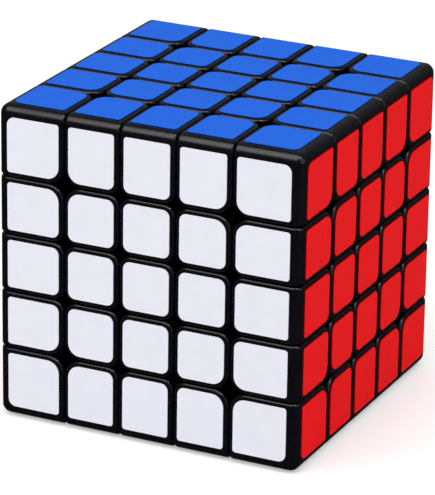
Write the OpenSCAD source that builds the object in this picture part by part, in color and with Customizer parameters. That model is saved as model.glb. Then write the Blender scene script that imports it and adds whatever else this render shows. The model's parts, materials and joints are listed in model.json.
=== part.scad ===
// Five-layer twisty puzzle cube: 98 outer pieces held by a six-armed core.
// Every cut between two layers is a surface turned about that layer's own axis,
// so any layer can turn about any of the three axes when the cube is aligned.

/* [Cube] */
// Width across two opposite plastic faces
cube_w = 61.6; // [60:0.2:66]
// Width of each of the three inner layers
inner_w = 11.35; // [11:0.05:11.6]
// Free space between two neighbouring pieces
gap = 0.2; // [0.1:0.05:0.3]
// Wall thickness of the outer shells
shell_t = 2.2; // [1.6:0.1:2.6]

/* [Rounding] */
// Radius along the twelve outer edges of the cube
edge_r = 1.9; // [1:0.1:1.9]
// Corner radius of the pieces where two outer cuts cross
outer_cross_r = 3.3; // [2:0.1:3.6]
// Corner radius of the pieces at every other crossing
inner_cross_r = 2.3; // [1:0.1:2.4]
// Depth of the rounded corners below the face
cross_depth = 9; // [6:0.5:10]

/* [Stickers] */
// Sticker thickness
sticker_t = 0.2; // [0.1:0.05:0.4]
// From the middle of a cut to the sticker
sticker_inset = 1; // [0.6:0.05:1.2]
// From the cube's side to the sticker
sticker_edge_inset = 2.1; // [1.95:0.05:3]
// Sticker corner radius at the corners of the cube
sticker_corner_r = 1.5; // [0.5:0.1:1.6]
// Sticker corner radius along the cube's edges
sticker_side_r = 0.6; // [0.3:0.1:0.8]

/* [Mechanism] */
// Radius at which the outer cut leaves its plane
outer_cone_r = 27; // [26:0.5:27.5]
// Radius of the outer cut's locking wall
lock_r = 21; // [20:0.5:22]
// Height of the outer cut at the top of the locking wall
lock_h = 11; // [10.5:0.5:12]
// Height of the outer cut inside the locking wall
outer_floor = 8.5; // [8:0.5:9]
// Radius at which the inner cut leaves its plane
inner_cone_r = 25; // [24:0.5:26]
// Radius at which the inner cut reaches its inner height
inner_lock_r = 21.5; // [21:0.5:22]
// Height of the inner cut near the core
inner_floor = 3; // [2.8:0.1:3.2]
// Radius of the ball that the feet slide on
ball_r = 13; // [12:0.5:14]

/* [Core and screws] */
// Radius of a core arm
arm_r = 2.8; // [2.4:0.1:2.8]
// Distance from the centre to an arm's end
arm_reach = 17.5; // [16:0.5:18]
// Radius of a tension screw's shank
screw_r = 1.3; // [1:0.05:1.4]
// Radius of a tension screw's head
head_r = 2.2; // [1.9:0.1:2.3]
// Thickness of a tension screw's head
head_t = 1.4; // [1:0.1:1.6]
// Radial running clearance between a stem and its screw
running = 0.06; // [0.04:0.01:0.09]
// Radius of the cup that holds the spring
cup_r = 2.55; // [2.4:0.05:2.6]
// Distance from the centre to the floor of the cup
cup_floor = 22.5; // [22:0.25:23]
// Diameter of the spring wire
wire_d = 0.45; // [0.3:0.05:0.5]
// Number of turns of a spring
spring_turns = 5; // [3:1:6]

/* [Hidden] */
$fn = 64;
half = cube_w / 2;
half_gap = gap / 2;
cut_out = 1.5 * inner_w;
cut_in = inner_w / 2;
core_half = half - shell_t;
reach = 2 * half;
rest_h = half + sticker_t;
washer_t = 0.4;
washer_room = 0.15;
play = 0.05;
head_room = 0.4;
head_seat = core_half - head_t - head_room;
slot_w = 0.6;
slot_l = 1.2 * head_r;
slot_depth = 0.7;
spring_low = cup_floor + play + washer_t;
spring_r = screw_r + 0.25 + wire_d / 2;
thread_l = 9;
screw_tip = arm_reach - thread_l;
pilot_r = screw_r - 0.1;
pilot_spare = 0.5;
// The hollows that lighten the feet, under their shells.
pocket_wall = 1.7;
pocket_floor = 19.2;
wing_cone_wall = 2.7;
centre_pocket_wall = 1.6;
centre_pocket_side = 2;
centre_cone_wall = 3.6;
centre_pocket_floor = 23.5;

SIDES = ["white", "red", "yellow", "orange"];
COLOURS = [[0.92, 0.92, 0.95], [0.83, 0.08, 0.1], [0.98, 0.82, 0.05], [1, 0.42, 0.05]];
BLUE = [0.16, 0.4, 0.85];
GREEN = [0.05, 0.6, 0.22];
BLACK = [0.05, 0.05, 0.055];
LAYERS = ["bottom_layer", "lower_slice", "middle_slice", "upper_slice", "top_layer"];

NODES = concat(
    [for (end = ["top", "bottom"], kind = ["corner_shells", "wing_shells", "midedge_shells",
        "x_centre_shells", "t_centre_shells", "centre_cap", "corner_feet", "edge_feet",
        "centre_feet", "centre_stem"]) str(end, "_", kind)],
    [for (end = ["upper", "lower"], kind = ["wing_shells", "x_centre_shells", "t_centre_shells",
        "slice_feet"]) str(end, "_", kind)],
    ["middle_edge_shells", "middle_t_centre_shells", "side_centre_caps", "middle_slice_feet",
        "side_centre_stems", "core", "tension_screws", "tension_springs", "spring_washers"],
    ["top_face_blue_stickers", "bottom_face_green_stickers"],
    [for (layer = LAYERS, side = SIDES) str(layer, "_", side, "_stickers")]);

// ---- cuts between layers, as half-profiles [distance from the axis, height along it] ----

outer_slope = (cut_out - lock_h) / (outer_cone_r - lock_r);
inner_slope = (cut_in - inner_floor) / (inner_cone_r - inner_lock_r);

// How far a cone's line shifts along its neighbour when both move sideways by one unit.
function corner_shift(slope) = (1 - sqrt(1 + slope * slope)) / slope;

// The outer cut from the axis outwards, moved off its middle surface by d.
function outer_cut(d) = [
    [0, outer_floor + d],
    [lock_r - d, outer_floor + d],
    [lock_r - d, lock_h + d * (sqrt(1 + outer_slope * outer_slope) - outer_slope)],
    [outer_cone_r + d * corner_shift(outer_slope), cut_out + d],
    [reach, cut_out + d]];

// The inner cut from the axis outwards, moved off its middle surface by d.
function inner_cut(d) = [
    [0, inner_floor + d],
    [inner_lock_r + d * corner_shift(inner_slope), inner_floor + d],
    [inner_cone_r + d * corner_shift(inner_slope), cut_in + d],
    [reach, cut_in + d]];

function reversed(points) = [for (i = [len(points) - 1:-1:0]) points[i]];
function upside_down(points) = [for (p = points) [p[0], -p[1]]];

module outer_zone() rotate_extrude() polygon(concat(outer_cut(half_gap), [[reach, reach], [0, reach]]));
module slice_zone() rotate_extrude() polygon(concat(inner_cut(half_gap), reversed(outer_cut(-half_gap))));
module middle_zone() rotate_extrude()
    polygon(concat(upside_down(inner_cut(-half_gap)), reversed(inner_cut(-half_gap))));

module about_x() rotate([0, 90, 0]) children();
module about_y() rotate([-90, 0, 0]) children();

// ---- outlines on a face ----

// What rounding with radius r removes from a corner that points to -x and -y.
module corner_waste(r) difference() {
    translate([-gap, -gap]) square(r + gap);
    translate([r, r]) circle(r);
}

// The same waste at the four corners of a rectangle, with one radius each, anticlockwise.
module rectangle_waste(low, high, radii) {
    translate(low) corner_waste(radii[0]);
    translate([high[0], low[1]]) rotate(90) corner_waste(radii[1]);
    translate(high) rotate(180) corner_waste(radii[2]);
    translate([low[0], high[1]]) rotate(270) corner_waste(radii[3]);
}

module rounded_rectangle(low, high, radii) difference() {
    translate(low) square(high - low);
    rectangle_waste(low, high, radii);
}

// A cell's span along one axis: 0 is the middle layer, 1 a slice, 2 an outer layer.
function cell_low(i) = (i == 0 ? -cut_in : i == 1 ? cut_in : cut_out) + half_gap;
function cell_high(i) = i == 0 ? cut_in - half_gap : i == 1 ? cut_out - half_gap : half;
function cross_r(i, j) = i == 1 && j == 1 ? outer_cross_r : inner_cross_r;

// Radii of the cell in column i and row j; a crossing's class is the cut it lies on, 0 or 1.
function cut_class(i, high) = i == 2 ? (high ? 2 : 1) : i == 1 ? (high ? 1 : 0) : 0;
function cell_radius(i, j, high_i, high_j, side, corner) =
    let (a = cut_class(i, high_i), b = cut_class(j, high_j))
    a == 2 && b == 2 ? corner : a == 2 || b == 2 ? side : cross_r(a, b);
function cell_radii(i, j, side, corner) = [
    cell_radius(i, j, false, false, side, corner), cell_radius(i, j, true, false, side, corner),
    cell_radius(i, j, true, true, side, corner), cell_radius(i, j, false, true, side, corner)];

// Only the crossings are rounded here; the cube's own edges are rounded along their length.
module face_waste(i, j, from, to) translate([0, 0, from]) linear_extrude(to - from)
    for (q = [0:3]) let (high_i = q == 1 || q == 2, high_j = q > 1)
        if (cut_class(i, high_i) < 2 && cut_class(j, high_j) < 2)
            translate([high_i ? cell_high(i) : cell_low(i), high_j ? cell_high(j) : cell_low(j)])
                rotate(90 * q)
                    corner_waste(cross_r(cut_class(i, high_i), cut_class(j, high_j)));

// ---- shells: what is seen of each piece ----

module centre_shell(i, j) color(BLACK) difference() {
    translate([cell_low(i), cell_low(j), core_half])
        cube([cell_high(i) - cell_low(i), cell_high(j) - cell_low(j), shell_t]);
    face_waste(i, j, core_half - 1, half + 1);
}

// A rounded outer edge of the cube in the x-z plane, from the cut to the face.
module edge_profile() difference() {
    translate([cell_low(2), cell_low(2)]) square(half - cell_low(2));
    translate([half, half]) rotate(180) corner_waste(edge_r);
}

module edge_prism(j) translate([0, cell_high(j), 0]) rotate([90, 0, 0])
    linear_extrude(cell_high(j) - cell_low(j)) edge_profile();

module inner_block() cube(2 * core_half, center = true);

// Mirror image through the plane x = z, which carries the top face to the right face.
module swap_x_z() rotate([0, 90, 0]) mirror([1, 0, 0]) children();

module edge_shell(j) color(BLACK) difference() {
    edge_prism(j);
    inner_block();
    face_waste(2, j, cell_low(2) - 1, half + 1);
    swap_x_z() face_waste(2, j, cell_low(2) - 1, half + 1);
}

module corner_prism() intersection() {
    edge_prism(2);
    rotate(120, [1, 1, 1]) edge_prism(2);
    rotate(240, [1, 1, 1]) edge_prism(2);
}

module corner_shell() color(BLACK) difference() {
    corner_prism();
    inner_block();
    for (turn = [0, 120, 240]) rotate(turn, [1, 1, 1])
        face_waste(2, 2, cell_low(2) - 1, half + 1);
}

// ---- feet: what holds each piece in the mechanism ----

module foot_block() difference() {
    inner_block();
    sphere(ball_r + half_gap);
}

// The foot's rounded corners run cross_depth below the face.
module deep_waste(i, j) face_waste(i, j, half - cross_depth, core_half + 1);

module pocket(low, high) translate(low) cube(high - low);

module x_centre_foot() color(BLACK) difference() {
    intersection() {
        foot_block();
        outer_zone();
        about_x() slice_zone();
        about_y() slice_zone();
    }
    deep_waste(1, 1);
    pocket([cut_in + centre_pocket_wall, cut_in + centre_pocket_wall, centre_pocket_floor],
        [cut_out - centre_cone_wall, cut_out - centre_cone_wall, core_half + 1]);
}

module t_centre_foot() color(BLACK) difference() {
    intersection() {
        foot_block();
        outer_zone();
        about_x() slice_zone();
        about_y() middle_zone();
    }
    deep_waste(1, 0);
    pocket([cut_in + centre_pocket_wall, -cut_in + centre_pocket_side, centre_pocket_floor],
        [cut_out - centre_cone_wall, cut_in - centre_pocket_side, core_half + 1]);
}

module wing_foot() color(BLACK) difference() {
    intersection() {
        foot_block();
        outer_zone();
        about_x() outer_zone();
        about_y() slice_zone();
    }
    deep_waste(2, 1);
    swap_x_z() deep_waste(2, 1);
    pocket([pocket_floor, cut_in + pocket_wall, pocket_floor],
        [core_half - pocket_wall, cut_out - wing_cone_wall, core_half + 1]);
}

module midedge_foot() color(BLACK) difference() {
    intersection() {
        foot_block();
        outer_zone();
        about_x() outer_zone();
        about_y() middle_zone();
    }
    deep_waste(2, 0);
    swap_x_z() deep_waste(2, 0);
    pocket([pocket_floor, -cut_in + pocket_wall, pocket_floor],
        [core_half - pocket_wall, cut_in - pocket_wall, core_half + 1]);
}

module corner_foot() color(BLACK) difference() {
    intersection() {
        foot_block();
        outer_zone();
        about_x() outer_zone();
        about_y() outer_zone();
    }
    for (turn = [0, 120, 240]) rotate(turn, [1, 1, 1]) deep_waste(2, 2);
    pocket([pocket_floor, pocket_floor, pocket_floor],
        [core_half - pocket_wall, core_half - pocket_wall, core_half + 1]);
}

// The face centre: a square stem bored for the screw, with a cup for the spring.
module centre_stem() color(BLACK) difference() {
    intersection() {
        translate([-half, -half, arm_reach + half_gap])
            cube([cube_w, cube_w, core_half - arm_reach - half_gap]);
        about_x() middle_zone();
        about_y() middle_zone();
    }
    deep_waste(0, 0);
    cylinder(r = screw_r + running, h = core_half);
    translate([0, 0, cup_floor]) cylinder(r = cup_r, h = half);
}

// ---- core, screws and springs ----

module six_ways() {
    children();
    rotate([180, 0, 0]) children();
    for (side = [0:3]) rotate([90, 0, 90 * side]) children();
}

module core() color([0.2, 0.2, 0.21]) difference() {
    union() {
        sphere(ball_r - half_gap);
        six_ways() cylinder(r = arm_r, h = arm_reach);
    }
    six_ways() translate([0, 0, screw_tip - pilot_spare]) cylinder(r = pilot_r, h = arm_reach);
}

module tension_screw() color("silver") difference() {
    union() {
        translate([0, 0, screw_tip]) cylinder(r = screw_r, h = head_seat - screw_tip);
        translate([0, 0, head_seat]) cylinder(r = head_r, h = head_t);
    }
    for (turn = [0, 90]) rotate(turn)
        translate([-slot_l / 2, -slot_w / 2, head_seat + head_t - slot_depth])
            cube([slot_l, slot_w, head_t]);
}

module spring_washer() color("gold") translate([0, 0, cup_floor + play]) difference() {
    cylinder(r = cup_r - washer_room, h = washer_t);
    translate([0, 0, -1]) cylinder(r = screw_r + washer_room, h = washer_t + 2);
}

// A round wire swept along a helix: rings of points joined by quads, with flat ends.
module coil_spring(low, high) {
    sides = 6;
    steps = 14 * spring_turns;
    rise = high - low - wire_d - 2 * play;
    function ring(s) = let (turn = 360 * spring_turns * s / steps,
        z = low + play + wire_d / 2 + rise * s / steps)
        [for (k = [0:sides - 1]) let (r = spring_r + wire_d / 2 * cos(360 * k / sides))
            [r * cos(turn), r * sin(turn), z + wire_d / 2 * sin(360 * k / sides)]];
    points = [for (s = [0:steps]) each ring(s)];
    walls = [for (s = [0:steps - 1], k = [0:sides - 1]) let (next = (k + 1) % sides)
        [s * sides + k, (s + 1) * sides + k, (s + 1) * sides + next, s * sides + next]];
    first = [for (k = [0:sides - 1]) k];
    last = [for (k = [sides - 1:-1:0]) steps * sides + k];
    color("lightgrey") polyhedron(points, concat([first, last], walls));
}

module tension_spring() coil_spring(spring_low, head_seat);

// ---- stickers on the top face, in column i and row j from -2 to 2 ----

function sticker_low(i) = i == 0 ? -cut_in + sticker_inset
    : (i == 1 ? cut_in : cut_out) + sticker_inset;
function sticker_high(i) = i == 0 ? cut_in - sticker_inset
    : i == 1 ? cut_out - sticker_inset : half - sticker_edge_inset;
function sticker_radii(i, j) = [for (r = cell_radii(i, j, -1, -2))
    r == -1 ? sticker_side_r : r == -2 ? sticker_corner_r : r - sticker_inset + half_gap];

module sticker(i, j) {
    a = abs(i);
    b = abs(j);
    mirror([i < 0 ? 1 : 0, 0, 0]) mirror([0, j < 0 ? 1 : 0, 0])
        translate([0, 0, half]) linear_extrude(sticker_t)
            rounded_rectangle([sticker_low(a), sticker_low(b)],
                [sticker_high(a), sticker_high(b)], sticker_radii(a, b));
}

// ---- placing ----

module raised() translate([0, 0, rest_h]) children();
module top_or_bottom(end) rotate([end == "top" || end == "upper" ? 0 : 180, 0, 0]) children();
module four_quarters() for (q = [0:3]) rotate([0, 0, 90 * q]) children();

// Carries the top face to a side: 0 front, 1 right, 2 back, 3 left.
module on_side(side) rotate([90, 0, 90 * side]) children();
module on_sides() for (side = [0:3]) on_side(side) children();
module wing_pair() {
    children();
    rotate(180, [1, 0, 1]) children();
}

module outer_layer_part(kind) {
    if (kind == "corner_shells") four_quarters() corner_shell();
    if (kind == "wing_shells") four_quarters() wing_pair() edge_shell(1);
    if (kind == "midedge_shells") four_quarters() edge_shell(0);
    if (kind == "x_centre_shells") four_quarters() centre_shell(1, 1);
    if (kind == "t_centre_shells") four_quarters() centre_shell(1, 0);
    if (kind == "centre_cap") centre_shell(0, 0);
    if (kind == "corner_feet") four_quarters() corner_foot();
    if (kind == "edge_feet") four_quarters() {
        midedge_foot();
        wing_pair() wing_foot();
    }
    if (kind == "centre_feet") four_quarters() {
        x_centre_foot();
        t_centre_foot();
    }
    if (kind == "centre_stem") centre_stem();
}

module slice_part(kind) on_sides() {
    if (kind == "wing_shells") edge_shell(1);
    if (kind == "x_centre_shells") for (q = [0, 90]) rotate(q) centre_shell(1, 1);
    if (kind == "t_centre_shells") rotate(90) centre_shell(1, 0);
    if (kind == "slice_feet") {
        wing_foot();
        for (q = [0, 90]) rotate(q) x_centre_foot();
        rotate(90) t_centre_foot();
    }
}

module middle_part(name) {
    if (name == "middle_edge_shells") on_sides() edge_shell(0);
    if (name == "middle_t_centre_shells") on_sides() for (q = [0, 180]) rotate(q) centre_shell(1, 0);
    if (name == "side_centre_caps") on_sides() centre_shell(0, 0);
    if (name == "middle_slice_feet") on_sides() {
        midedge_foot();
        for (q = [0, 180]) rotate(q) t_centre_foot();
    }
    if (name == "side_centre_stems") on_sides() centre_stem();
    if (name == "core") core();
    if (name == "tension_screws") six_ways() tension_screw();
    if (name == "tension_springs") six_ways() tension_spring();
    if (name == "spring_washers") six_ways() spring_washer();
}

module sticker_part(name) {
    if (name == "top_face_blue_stickers")
        color(BLUE) for (i = [-2:2], j = [-2:2]) sticker(i, j);
    if (name == "bottom_face_green_stickers")
        color(GREEN) rotate([180, 0, 0]) for (i = [-2:2], j = [-2:2]) sticker(i, j);
    for (row = [0:4], side = [0:3])
        if (name == str(LAYERS[row], "_", SIDES[side], "_stickers"))
            color(COLOURS[side]) on_side(side) for (i = [-2:2]) sticker(i, row - 2);
}

module part(name) raised() {
    for (end = ["top", "bottom"], kind = ["corner_shells", "wing_shells", "midedge_shells",
        "x_centre_shells", "t_centre_shells", "centre_cap", "corner_feet", "edge_feet",
        "centre_feet", "centre_stem"])
        if (name == str(end, "_", kind)) top_or_bottom(end) outer_layer_part(kind);
    for (end = ["upper", "lower"], kind = ["wing_shells", "x_centre_shells", "t_centre_shells",
        "slice_feet"])
        if (name == str(end, "_", kind)) top_or_bottom(end) slice_part(kind);
    middle_part(name);
    sticker_part(name);
}

for (name = NODES) part(name);
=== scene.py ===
"""Looks of a five-layer twisty puzzle cube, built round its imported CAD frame.

The black outer shells and the vinyl stickers are rebuilt here with their real rounding; the feet,
core, screws, springs and washers keep their CAD shapes and get finished materials. Widths and places
are read from the frame, and only the roundings are set here. Meshes are built about the cube's
middle in millimetres, and scaled to metres when they are put in place.
"""
import json
import math

import bmesh
import bpy
from mathutils import Matrix, Vector


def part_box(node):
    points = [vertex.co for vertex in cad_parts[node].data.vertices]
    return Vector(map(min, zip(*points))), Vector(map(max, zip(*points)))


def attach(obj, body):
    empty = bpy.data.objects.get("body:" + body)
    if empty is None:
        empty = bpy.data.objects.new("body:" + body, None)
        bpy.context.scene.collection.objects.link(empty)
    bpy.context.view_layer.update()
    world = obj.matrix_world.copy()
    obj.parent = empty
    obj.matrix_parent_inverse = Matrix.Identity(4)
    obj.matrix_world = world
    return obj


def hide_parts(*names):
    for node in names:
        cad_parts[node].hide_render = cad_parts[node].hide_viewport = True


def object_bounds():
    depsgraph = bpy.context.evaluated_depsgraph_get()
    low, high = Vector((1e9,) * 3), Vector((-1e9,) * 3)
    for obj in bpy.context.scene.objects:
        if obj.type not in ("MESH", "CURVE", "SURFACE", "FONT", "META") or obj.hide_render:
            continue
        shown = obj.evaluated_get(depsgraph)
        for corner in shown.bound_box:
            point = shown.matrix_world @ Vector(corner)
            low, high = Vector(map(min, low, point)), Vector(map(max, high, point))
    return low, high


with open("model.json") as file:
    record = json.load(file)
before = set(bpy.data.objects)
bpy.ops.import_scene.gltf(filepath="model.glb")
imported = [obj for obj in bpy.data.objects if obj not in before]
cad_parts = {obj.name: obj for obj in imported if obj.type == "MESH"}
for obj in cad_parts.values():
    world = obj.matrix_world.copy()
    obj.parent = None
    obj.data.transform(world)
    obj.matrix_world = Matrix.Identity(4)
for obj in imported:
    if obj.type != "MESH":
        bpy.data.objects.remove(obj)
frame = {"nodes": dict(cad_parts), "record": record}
CAD_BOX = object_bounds()
MM = 0.001


# ---- sizes, read from the frame ----

CENTRE = (CAD_BOX[0] + CAD_BOX[1]) / 2
HALF = (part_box("middle_edge_shells")[1].x - CENTRE.x) / MM
RISE = (CAD_BOX[1].x - CENTRE.x) / MM - HALF
INSIDE = (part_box("top_centre_cap")[0].z - CENTRE.z) / MM


def heights(node):
    """How far a node reaches below and above the cube's middle."""
    low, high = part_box(node)
    return (low.z - CENTRE.z) / MM, (high.z - CENTRE.z) / MM


# A cell's span along one axis: 0 is the middle layer, 1 a slice, 2 an outer layer.
CELL = [heights("middle_t_centre_shells"), heights("upper_wing_shells"), heights("top_wing_shells")]
# A sticker's span along one axis, in the same order.
LABEL = [heights("middle_slice_white_stickers"), heights("upper_slice_white_stickers"),
         heights("top_layer_white_stickers")]

# ---- sizes of the finish, in millimetres ----

EDGE_R = 1.9  # along the cube's twelve outer edges
RIM_R = 0.55  # round each piece, where its outer surface meets its walls
OUTER_CROSS_R = 3.3  # the upright corners of pieces where two outer cuts cross
INNER_CROSS_R = 2.3  # the upright corners at every other crossing
STICKER_CORNER_R = 1.5  # sticker corners at the corners of the cube
STICKER_SIDE_R = 0.6  # sticker corners along the cube's edges
STICKER_RIM = 0.07  # the rolled edge of a sticker

ROUND_STEPS = 8
RIM_STEPS = 4
STICKER_RIM_STEPS = 2
ARC_STEPS = 6

TINY = 0.002  # two places closer than this are the same
SKIN = 0.05  # a face no deeper than this belongs to the outer surface


# ---- mesh helpers ----

def add_box(bm, low, high):
    """A box between two corners."""
    middle = (Vector(low) + Vector(high)) / 2
    size = Vector(high) - Vector(low)
    bmesh.ops.create_cube(bm, size=1, matrix=Matrix.Translation(middle) @ Matrix.Diagonal((*size, 1)))


def add_loop_prism(bm, outline, place, low, high):
    """A prism over an outline of 2D points; place(a, b, h) turns a point and a height into 3D."""
    bottom = [bm.verts.new(place(a, b, low)) for a, b in outline]
    top = [bm.verts.new(place(a, b, high)) for a, b in outline]
    count = len(outline)
    bm.faces.new(list(reversed(bottom)))
    bm.faces.new(top)
    for k in range(count):
        following = (k + 1) % count
        bm.faces.new([bottom[k], bottom[following], top[following], top[k]])


def outwards(bm):
    """Turns every face to look out of its solid."""
    bmesh.ops.recalc_face_normals(bm, faces=bm.faces)


def bevel(bm, edges, radius, segments):
    """Rounds these edges; edges that meet a bevelled one are cut back with it."""
    if edges:
        bmesh.ops.bevel(bm, geom=edges, offset=radius, offset_type="OFFSET", segments=segments,
                        profile=0.5, affect="EDGES", clamp_overlap=True, miter_outer="SHARP")


def near(a, b):
    return abs(a - b) < TINY


def edges_where(bm, test):
    """The edges whose two ends both pass the test."""
    return [e for e in bm.edges if all(test(v.co) for v in e.verts)]


def depth_in_cube(point):
    """How far a point lies inside the cube with rounded outer edges; zero on its surface."""
    past = [max(abs(c) - (HALF - EDGE_R), 0) for c in point]
    inner = min(max(abs(c) for c in point) - (HALF - EDGE_R), 0)
    return EDGE_R - math.sqrt(sum(p * p for p in past)) - inner


def rim_edges(bm):
    """Edges between the outer surface and a wall that faces a neighbouring piece."""
    skin = {f for f in bm.faces if all(abs(depth_in_cube(v.co)) < SKIN for v in f.verts)}
    return [e for e in bm.edges if len(e.link_faces) == 2 and len(skin.intersection(e.link_faces)) == 1]


# ---- shells: one of each kind, in the cube's own middle, on the top and right faces ----

def cross_radius(class_a, class_b):
    """The corner radius where two cuts cross, from their classes."""
    return OUTER_CROSS_R if class_a == 1 and class_b == 1 else INNER_CROSS_R


def cut_class(i, high):
    """Which cut bounds a cell on one side: 0 the inner, 1 the outer, 2 the cube's own face."""
    return 0 if i == 0 else i if high else i - 1


def corners_of(i, j):
    """The cell's four corners on its face, with the classes of the two cuts that cross there."""
    for high_i in (False, True):
        for high_j in (False, True):
            yield CELL[i][high_i], CELL[j][high_j], cut_class(i, high_i), cut_class(j, high_j)


def round_crossings(bm, i, j, face_axis):
    """Rounds the upright corners of a cell on the top face (axis 2) or the right face (axis 0)."""
    across = 2 - face_axis
    for a, b, class_a, class_b in corners_of(i, j):
        if class_a < 2 and class_b < 2:
            upright = edges_where(bm, lambda p: near(p[across], a) and near(p.y, b)
                                  and p[face_axis] > INSIDE - TINY)
            bevel(bm, upright, cross_radius(class_a, class_b), ROUND_STEPS)


def centre_shell(i, j):
    """The flat cap of a piece that lies inside a face."""
    bm = bmesh.new()
    add_box(bm, (CELL[i][0], CELL[j][0], INSIDE), (CELL[i][1], CELL[j][1], HALF))
    round_crossings(bm, i, j, 2)
    bevel(bm, rim_edges(bm), RIM_R, RIM_STEPS)
    return bm


def edge_shell(j):
    """The two plates of an edge piece, one on the top face and one on the right."""
    start = CELL[2][0]
    outline = [(start, HALF), (HALF, HALF), (HALF, start),
               (INSIDE, start), (INSIDE, INSIDE), (start, INSIDE)]
    bm = bmesh.new()
    add_loop_prism(bm, outline, lambda a, b, h: (a, h, b), *CELL[j])
    outwards(bm)
    round_crossings(bm, 2, j, 2)
    round_crossings(bm, 2, j, 0)
    bevel(bm, edges_where(bm, lambda p: near(p.x, HALF) and near(p.z, HALF)), EDGE_R, ROUND_STEPS)
    bevel(bm, rim_edges(bm), RIM_R, RIM_STEPS)
    return bm


def corner_shell():
    """The three plates of a corner piece, open towards the middle of the cube."""
    cut = CELL[2][0]
    bm = bmesh.new()
    add_box(bm, (cut, cut, cut), (HALF, HALF, HALF))
    # The box loses its inner corner with three faces, and walls and floors take their place.
    inner_corner = min(bm.verts, key=lambda v: v.co.length)
    bmesh.ops.delete(bm, geom=[inner_corner], context="VERTS")

    def vertex_at(place):
        """The vertex at a place, made there if there is none yet."""
        found = [v for v in bm.verts if (v.co - place).length < TINY]
        return found[0] if found else bm.verts.new(place)

    for turn in range(3):
        def spots(*places):
            """The vertices at these places, with their coordinates passed on by this many axes."""
            return [vertex_at(Vector(p[3 - turn:] + p[:3 - turn])) for p in places]

        # The wall at the cut is an L; the floor under the plate is a square.
        bm.faces.new(spots((cut, cut, HALF), (cut, HALF, HALF), (cut, HALF, cut), (cut, INSIDE, cut),
                           (cut, INSIDE, INSIDE), (cut, cut, INSIDE)))
        bm.faces.new(spots((cut, cut, INSIDE), (cut, INSIDE, INSIDE), (INSIDE, INSIDE, INSIDE),
                           (INSIDE, cut, INSIDE)))
    outwards(bm)
    for axis in (2, 0, 1):
        others = [a for a in range(3) if a != axis]
        upright = edges_where(bm, lambda p: all(near(p[a], cut) for a in others)
                              and p[axis] > INSIDE - TINY)
        bevel(bm, upright, OUTER_CROSS_R, ROUND_STEPS)
    bevel(bm, edges_where(bm, lambda p: sum(near(c, HALF) for c in p) >= 2), EDGE_R, ROUND_STEPS)
    bevel(bm, rim_edges(bm), RIM_R, RIM_STEPS)
    return bm


# ---- stickers ----

def arc(centre, radius, start):
    """Points of a quarter circle, anticlockwise from the start angle in degrees."""
    angles = [math.radians(start + 90 * k / ARC_STEPS) for k in range(ARC_STEPS + 1)]
    return [(centre[0] + radius * math.cos(a), centre[1] + radius * math.sin(a)) for a in angles]


def sticker_radius(class_a, class_b, inset):
    """A sticker's corner radius, from the classes of the cuts beside that corner."""
    if class_a == 2 and class_b == 2:
        return STICKER_CORNER_R
    if class_a == 2 or class_b == 2:
        return STICKER_SIDE_R
    return cross_radius(class_a, class_b) - inset


def sticker_outline(i, j):
    """The outline of the sticker on a cell, anticlockwise from its inner corner."""
    (x0, x1), (y0, y1) = LABEL[i], LABEL[j]
    inset = LABEL[1][0] - CELL[1][0]
    radii = [sticker_radius(cut_class(i, hx), cut_class(j, hy), inset)
             for hx, hy in ((False, False), (True, False), (True, True), (False, True))]
    spots = [(x0, y0, 1, 1), (x1, y0, -1, 1), (x1, y1, -1, -1), (x0, y1, 1, -1)]
    points = []
    for k, ((x, y, dx, dy), r) in enumerate(zip(spots, radii)):
        points += arc((x + dx * r, y + dy * r), r, 180 + 90 * k)
    return points


def sticker(i, j):
    """A sticker on the top face, with its cut edge rolled over at the rim."""
    bm = bmesh.new()
    add_loop_prism(bm, sticker_outline(abs(i), abs(j)), lambda a, b, h: (a, b, h), HALF, HALF + RISE)
    outwards(bm)
    top_rim = edges_where(bm, lambda p: near(p.z, HALF + RISE))
    bevel(bm, top_rim, STICKER_RIM, STICKER_RIM_STEPS)
    bm.transform(Matrix.Diagonal((-1 if i < 0 else 1, -1 if j < 0 else 1, 1, 1)))
    if (i < 0) != (j < 0):
        bmesh.ops.reverse_faces(bm, faces=bm.faces)
    return bm


# ---- placing ----

def turn_about(axis, degrees):
    """A turn about an axis through the cube's middle."""
    return Matrix.Rotation(math.radians(degrees), 4, Vector(axis))


def joined(parts):
    """One mesh of several (builder mesh, matrix) pairs, in the row frame."""
    whole = bmesh.new()
    scratch = bpy.data.meshes.new("scratch")
    for source, matrix in parts:
        copy = source.copy()
        copy.transform(Matrix.Translation(CENTRE) @ Matrix.Scale(MM, 4) @ matrix)
        copy.to_mesh(scratch)
        whole.from_mesh(scratch)
        copy.free()
    bpy.data.meshes.remove(scratch)
    return whole


QUARTERS = [turn_about((0, 0, 1), 90 * k) for k in range(4)]
FLIPPED = {"top": Matrix.Identity(4), "upper": Matrix.Identity(4),
           "bottom": turn_about((1, 0, 0), 180), "lower": turn_about((1, 0, 0), 180)}
SIDES = [turn_about((0, 0, 1), 90 * k) @ turn_about((1, 0, 0), 90) for k in range(4)]
WING_PAIR = [Matrix.Identity(4), turn_about((1, 0, 1), 180)]
SHELLS = {
    "corner": corner_shell(),
    "wing": edge_shell(1),
    "midedge": edge_shell(0),
    "x_centre": centre_shell(1, 1),
    "t_centre": centre_shell(1, 0),
    "cap": centre_shell(0, 0),
}


def outer_layer_shells(end):
    """The shells of the top or bottom layer: (node, parts)."""
    flip = FLIPPED[end]
    yield f"{end}_corner_shells", [(SHELLS["corner"], flip @ q) for q in QUARTERS]
    yield f"{end}_wing_shells", [(SHELLS["wing"], flip @ q @ w) for q in QUARTERS for w in WING_PAIR]
    yield f"{end}_midedge_shells", [(SHELLS["midedge"], flip @ q) for q in QUARTERS]
    yield f"{end}_x_centre_shells", [(SHELLS["x_centre"], flip @ q) for q in QUARTERS]
    yield f"{end}_t_centre_shells", [(SHELLS["t_centre"], flip @ q) for q in QUARTERS]
    yield f"{end}_centre_cap", [(SHELLS["cap"], flip)]


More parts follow.
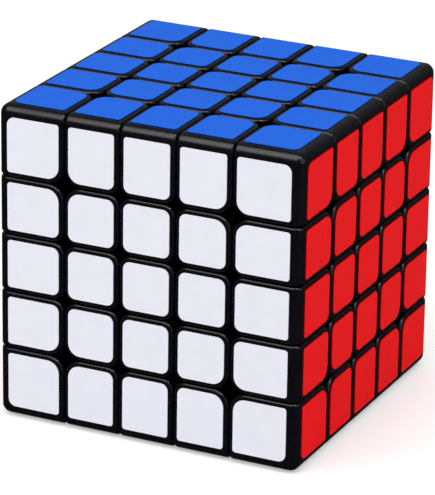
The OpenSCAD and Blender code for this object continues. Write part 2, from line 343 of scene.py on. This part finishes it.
def slice_shells(end):
    """The shells of the slice under the top layer or over the bottom one: (node, parts)."""
    flip = FLIPPED[end]
    yield f"{end}_wing_shells", [(SHELLS["wing"], flip @ s) for s in SIDES]
    yield f"{end}_x_centre_shells", [(SHELLS["x_centre"], flip @ s @ q)
                                     for s in SIDES for q in QUARTERS[:2]]
    yield f"{end}_t_centre_shells", [(SHELLS["t_centre"], flip @ s @ QUARTERS[1]) for s in SIDES]


def middle_shells():
    """The shells of the middle layer: (node, parts)."""
    yield "middle_edge_shells", [(SHELLS["midedge"], s) for s in SIDES]
    yield "middle_t_centre_shells", [(SHELLS["t_centre"], s @ q) for s in SIDES for q in QUARTERS[::2]]
    yield "side_centre_caps", [(SHELLS["cap"], s) for s in SIDES]


LAYERS = ["bottom_layer", "lower_slice", "middle_slice", "upper_slice", "top_layer"]
COLOURS = ["white", "red", "yellow", "orange"]


def sticker_sets():
    """Every sticker node: (node, colour, parts)."""
    face = [(i, j) for i in range(-2, 3) for j in range(-2, 3)]
    yield "top_face_blue_stickers", "blue", [(sticker(i, j), Matrix.Identity(4)) for i, j in face]
    yield "bottom_face_green_stickers", "green", [(sticker(i, j), FLIPPED["bottom"]) for i, j in face]
    for row, layer in enumerate(LAYERS):
        for side, colour in enumerate(COLOURS):
            parts = [(sticker(i, row - 2), SIDES[side]) for i in range(-2, 3)]
            yield f"{layer}_{colour}_stickers", colour, parts


# ---- materials ----

# Noise scales count features per metre, and bump heights are in metres.
TONE_DRIFT = 160
HANDLING_WEAR = 420
GLOSS_GRAIN = 3500
MOULD_GRAIN = 5200
INK_CLOUD = 260
VINYL_GLOSS_CLOUD = 600
VINYL_GLOSS_FLECK = 4200
PEEL_COARSE, PEEL_FINE = 1500, 6000
PEEL_HEIGHT = 0.0000012
METAL_CLOUD = 900
TOOL_MARKS = 2600
METAL_GRAIN = 9000
METAL_GRAIN_HEIGHT = 0.000004

# The colour sockets of a Mix node, which share their names with its other sockets.
MIX_A, MIX_B, MIX_RESULT = 6, 7, 2


class Nodes:
    """A material with its shader, and short ways to add and link more shader nodes."""

    def __init__(self, name):
        self.material = bpy.data.materials.new(name)
        self.material.use_nodes = True
        self.tree = self.material.node_tree
        self.shader = self.tree.nodes["Principled BSDF"]
        self.place = self.add("ShaderNodeTexCoord").outputs["Object"]

    def add(self, kind, **settings):
        node = self.tree.nodes.new(kind)
        for key, value in settings.items():
            setattr(node, key, value)
        return node

    def link(self, source, target):
        self.tree.links.new(source, target)

    def noise(self, scale, detail=3, roughness=0.5):
        node = self.add("ShaderNodeTexNoise")
        node.inputs["Scale"].default_value = scale
        node.inputs["Detail"].default_value = detail
        node.inputs["Roughness"].default_value = roughness
        self.link(self.place, node.inputs["Vector"])
        return node.outputs["Fac"]

    def spread(self, value, low, high):
        """Stretches the middle of a noise over a range."""
        node = self.add("ShaderNodeMapRange")
        node.inputs["From Min"].default_value = 0.3
        node.inputs["From Max"].default_value = 0.7
        node.inputs["To Min"].default_value = low
        node.inputs["To Max"].default_value = high
        self.link(value, node.inputs["Value"])
        return node.outputs["Result"]

    def blend(self, factor, first, second):
        node = self.add("ShaderNodeMix", data_type="RGBA")
        node.inputs[MIX_A].default_value = (*first, 1)
        node.inputs[MIX_B].default_value = (*second, 1)
        self.link(factor, node.inputs["Factor"])
        return node.outputs[MIX_RESULT]

    def sum(self, first, second):
        node = self.add("ShaderNodeMath", operation="ADD")
        self.link(first, node.inputs[0])
        self.link(second, node.inputs[1])
        return node.outputs[0]

    def bump(self, relief, height):
        node = self.add("ShaderNodeBump")
        node.inputs["Strength"].default_value = 1.0
        node.inputs["Distance"].default_value = height
        self.link(relief, node.inputs["Height"])
        self.link(node.outputs["Normal"], self.shader.inputs["Normal"])


def tinted(colour, amount):
    """A colour made darker or lighter."""
    return tuple(min(1, c * amount) for c in colour)


def moulded_plastic(name, colour, rough_low, rough_high, grain_height, specular=0.5):
    """Moulded plastic: a fine spark-eroded grain under a slow drift of gloss and tone."""
    n = Nodes(name)
    tone = n.spread(n.noise(TONE_DRIFT, 2), 0, 1)
    n.link(n.blend(tone, tinted(colour, 0.8), tinted(colour, 1.25)), n.shader.inputs["Base Color"])
    wear = n.spread(n.noise(HANDLING_WEAR, 4, 0.6), rough_low, rough_high)
    fleck = n.spread(n.noise(GLOSS_GRAIN, 2), -0.03, 0.03)
    n.link(n.sum(wear, fleck), n.shader.inputs["Roughness"])
    n.shader.inputs["Specular IOR Level"].default_value = specular
    n.bump(n.noise(MOULD_GRAIN, 3, 0.6), grain_height)
    return n.material


def vinyl(name, colour):
    """Printed vinyl: even colour, satin face with a faint orange peel."""
    n = Nodes(name)
    ink = n.spread(n.noise(INK_CLOUD, 3), 0, 1)
    n.link(n.blend(ink, tinted(colour, 0.985), tinted(colour, 1.015)), n.shader.inputs["Base Color"])
    cloud = n.spread(n.noise(VINYL_GLOSS_CLOUD, 3), 0.34, 0.42)
    fleck = n.spread(n.noise(VINYL_GLOSS_FLECK, 2), -0.02, 0.02)
    n.link(n.sum(cloud, fleck), n.shader.inputs["Roughness"])
    n.shader.inputs["Specular IOR Level"].default_value = 0.1
    n.bump(n.sum(n.noise(PEEL_COARSE, 2), n.noise(PEEL_FINE, 2)), PEEL_HEIGHT)
    return n.material


def turned_metal(name, colour, rough):
    """Plated or drawn metal: bright, with fine tool marks and a cloudy finish."""
    n = Nodes(name)
    n.shader.inputs["Metallic"].default_value = 1.0
    cloud = n.spread(n.noise(METAL_CLOUD, 4, 0.6), 0, 1)
    n.link(n.blend(cloud, tinted(colour, 0.8), colour), n.shader.inputs["Base Color"])
    n.link(n.spread(n.noise(TOOL_MARKS, 3), rough - 0.08, rough + 0.1), n.shader.inputs["Roughness"])
    n.bump(n.noise(METAL_GRAIN, 2), METAL_GRAIN_HEIGHT)
    return n.material


BLACK_SHELL = moulded_plastic("black_shell", (0.0021, 0.0021, 0.0042), 0.22, 0.32, 0.0000018)
BLACK_FOOT = moulded_plastic("black_foot", (0.003, 0.003, 0.0035), 0.34, 0.48, 0.000004, 0.35)
GREY_CORE = moulded_plastic("grey_core", (0.035, 0.035, 0.038), 0.45, 0.6, 0.00001)
STEEL = turned_metal("zinc_plated_steel", (0.72, 0.72, 0.74), 0.3)
SPRING_STEEL = turned_metal("spring_steel", (0.5, 0.5, 0.52), 0.25)
BRASS = turned_metal("brass", (0.78, 0.6, 0.28), 0.28)
VINYL_COLOURS = {
    "white": (0.717, 0.717, 0.785),
    "red": (0.80, 0.0015, 0.004),
    "yellow": (0.86, 0.58, 0.01),
    "orange": (0.86, 0.15, 0.008),
    "blue": (0.0045, 0.106, 0.62),
    "green": (0.008, 0.29, 0.05),
}
VINYLS = {colour: vinyl(f"{colour}_vinyl", rgb) for colour, rgb in VINYL_COLOURS.items()}


# ---- building the pieces ----

BODY_OF = {node: body
           for body, nodes in frame["record"]["behaviour"]["bodies"].items() for node in nodes}


def finished(name, bm, material, node):
    """Turns a mesh into a piece with one material that stands for a CAD node."""
    mesh = bpy.data.meshes.new(name)
    bm.to_mesh(mesh)
    bm.free()
    mesh.materials.append(material)
    mesh.polygons.foreach_set("use_smooth", [True] * len(mesh.polygons))
    piece = bpy.data.objects.new(name, mesh)
    bpy.context.scene.collection.objects.link(piece)
    # The large flat faces set the normals, so only the rounding is shaded as curved.
    shading = piece.modifiers.new("flat_faces", "WEIGHTED_NORMAL")
    shading.weight = 100
    shading.keep_sharp = True
    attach(piece, BODY_OF[node])
    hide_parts(node)
    return piece


for shells in (outer_layer_shells("top"), outer_layer_shells("bottom"), slice_shells("upper"),
               slice_shells("lower"), middle_shells()):
    for node, parts in shells:
        finished(f"{node}_moulded", joined(parts), BLACK_SHELL, node)

for node, colour, parts in sticker_sets():
    finished(f"{node}_vinyl", joined(parts), VINYLS[colour], node)

INNER_FINISH = {"core": GREY_CORE, "tension_screws": STEEL, "tension_springs": SPRING_STEEL,
                "spring_washers": BRASS}
for node, piece in frame["nodes"].items():
    if not piece.hide_render:
        piece.data.materials.clear()
        piece.data.materials.append(INNER_FINISH.get(node, BLACK_FOOT))


# ---- studio ----

FLOOR_REACH = 3.0
FLOOR_GAP = 0.02 * MM  # keeps the floor and the bottom stickers apart
FLOOR_ALBEDO = 0.6
FLOOR_GLOW = 0.4
LAMP_DISTANCE = 1.2


def studio_floor():
    """A pale floor that glows a little, so that shadows on it stay light."""
    bm = bmesh.new()
    low = CAD_BOX[0].z - FLOOR_GAP
    corners = [(-1, -1), (1, -1), (1, 1), (-1, 1)]
    bm.faces.new([bm.verts.new((x * FLOOR_REACH, y * FLOOR_REACH, low)) for x, y in corners])
    mesh = bpy.data.meshes.new("floor")
    bm.to_mesh(mesh)
    bm.free()
    n = Nodes("floor_white")
    n.shader.inputs["Base Color"].default_value = (FLOOR_ALBEDO, FLOOR_ALBEDO, FLOOR_ALBEDO, 1)
    n.shader.inputs["Emission Color"].default_value = (1, 1, 1, 1)
    n.shader.inputs["Emission Strength"].default_value = FLOOR_GLOW
    n.shader.inputs["Roughness"].default_value = 0.9
    n.shader.inputs["Specular IOR Level"].default_value = 0.0
    mesh.materials.append(n.material)
    floor = bpy.data.objects.new("floor", mesh)
    floor.visible_glossy = False
    bpy.context.scene.collection.objects.link(floor)


def softbox(name, towards, size, radiance):
    """A softbox that faces the cube from a direction, with its width and height, and its radiance."""
    light = bpy.data.lights.new(name, "AREA")
    light.shape = "RECTANGLE"
    light.size, light.size_y = size
    light.energy = radiance * math.pi * size[0] * size[1]
    lamp = bpy.data.objects.new(name, light)
    direction = Vector(towards).normalized()
    lamp.location = CENTRE + direction * LAMP_DISTANCE
    lamp.rotation_mode = "QUATERNION"
    lamp.rotation_quaternion = direction.to_track_quat("Z", "Y")
    bpy.context.scene.collection.objects.link(lamp)
    return lamp


def tent(strength, gloss, backdrop, backdrop_gloss):
    """An even white tent. Its glossy image is dim, as if black flags hung outside the view, and
    brightens towards the backdrop's direction.
    """
    world = bpy.data.worlds.new("tent")
    world.use_nodes = True
    tree = world.node_tree
    background = tree.nodes["Background"]
    path = tree.nodes.new("ShaderNodeLightPath")
    place = tree.nodes.new("ShaderNodeTexCoord")
    facing = tree.nodes.new("ShaderNodeVectorMath")
    facing.operation = "DOT_PRODUCT"
    facing.inputs[1].default_value = Vector(backdrop).normalized()
    reflected = tree.nodes.new("ShaderNodeMapRange")
    reflected.inputs["From Min"].default_value = 0.5
    reflected.inputs["To Min"].default_value = gloss
    reflected.inputs["To Max"].default_value = backdrop_gloss
    level = tree.nodes.new("ShaderNodeMapRange")
    level.inputs["To Min"].default_value = strength
    tree.links.new(place.outputs["Generated"], facing.inputs[0])
    tree.links.new(facing.outputs["Value"], reflected.inputs["Value"])
    tree.links.new(reflected.outputs["Result"], level.inputs["To Max"])
    tree.links.new(path.outputs["Is Glossy Ray"], level.inputs["Value"])
    background.inputs["Color"].default_value = (1, 1, 1, 1)
    tree.links.new(level.outputs["Result"], background.inputs["Strength"])
    world.cycles.sampling_method = "NONE"
    bpy.context.scene.world = world


studio_floor()
tent(0.38, 0.03, (-0.35, 0.85, 0.38), 0.19)
softbox("key", (-0.12, -0.50, 0.85), (1.05, 1.1), 3.1)
softbox("spark", (0.5, -0.2, 0.84), (0.15, 0.15), 50.0)
softbox("right_fill", (0.95, -0.1, 0.3), (1.1, 1.1), 0.75)
# The rear fill lights the back without showing in the plastic's reflections.
rear_fill = softbox("rear_fill", (-0.55, 0.8, 0.3), (1.1, 1.1), 1.8)
rear_fill.visible_glossy = False


# ---- camera, as the photograph sees the cube ----

AZIMUTH, ELEVATION, ROLL = 25.41, 20.64, 0.89
DISTANCE = 0.682
LENS = 261.2
AIM_RIGHT, AIM_UP = -0.29 * MM, -2.07 * MM


def make_camera():
    """A long lens that looks almost at the cube's middle, rolled by a degree."""
    camera = bpy.data.objects.new("camera", bpy.data.cameras.new("camera"))
    bpy.context.scene.collection.objects.link(camera)
    azimuth, elevation = math.radians(AZIMUTH), math.radians(ELEVATION)
    back = Vector((math.sin(azimuth) * math.cos(elevation), -math.cos(azimuth) * math.cos(elevation),
                   math.sin(elevation)))
    right = Vector((0, 0, 1)).cross(back).normalized()
    up = back.cross(right)
    camera.location = CENTRE + back * DISTANCE
    aim = CENTRE + right * AIM_RIGHT + up * AIM_UP
    view = (aim - camera.location).to_track_quat("-Z", "Y")
    camera.rotation_mode = "QUATERNION"
    camera.rotation_quaternion = view @ Matrix.Rotation(math.radians(ROLL), 3, "Z").to_quaternion()
    camera.data.lens = LENS
    camera.data.clip_start, camera.data.clip_end = 0.05, 20
    bpy.context.scene.camera = camera


make_camera()
bpy.context.scene.view_settings.view_transform = "Standard"
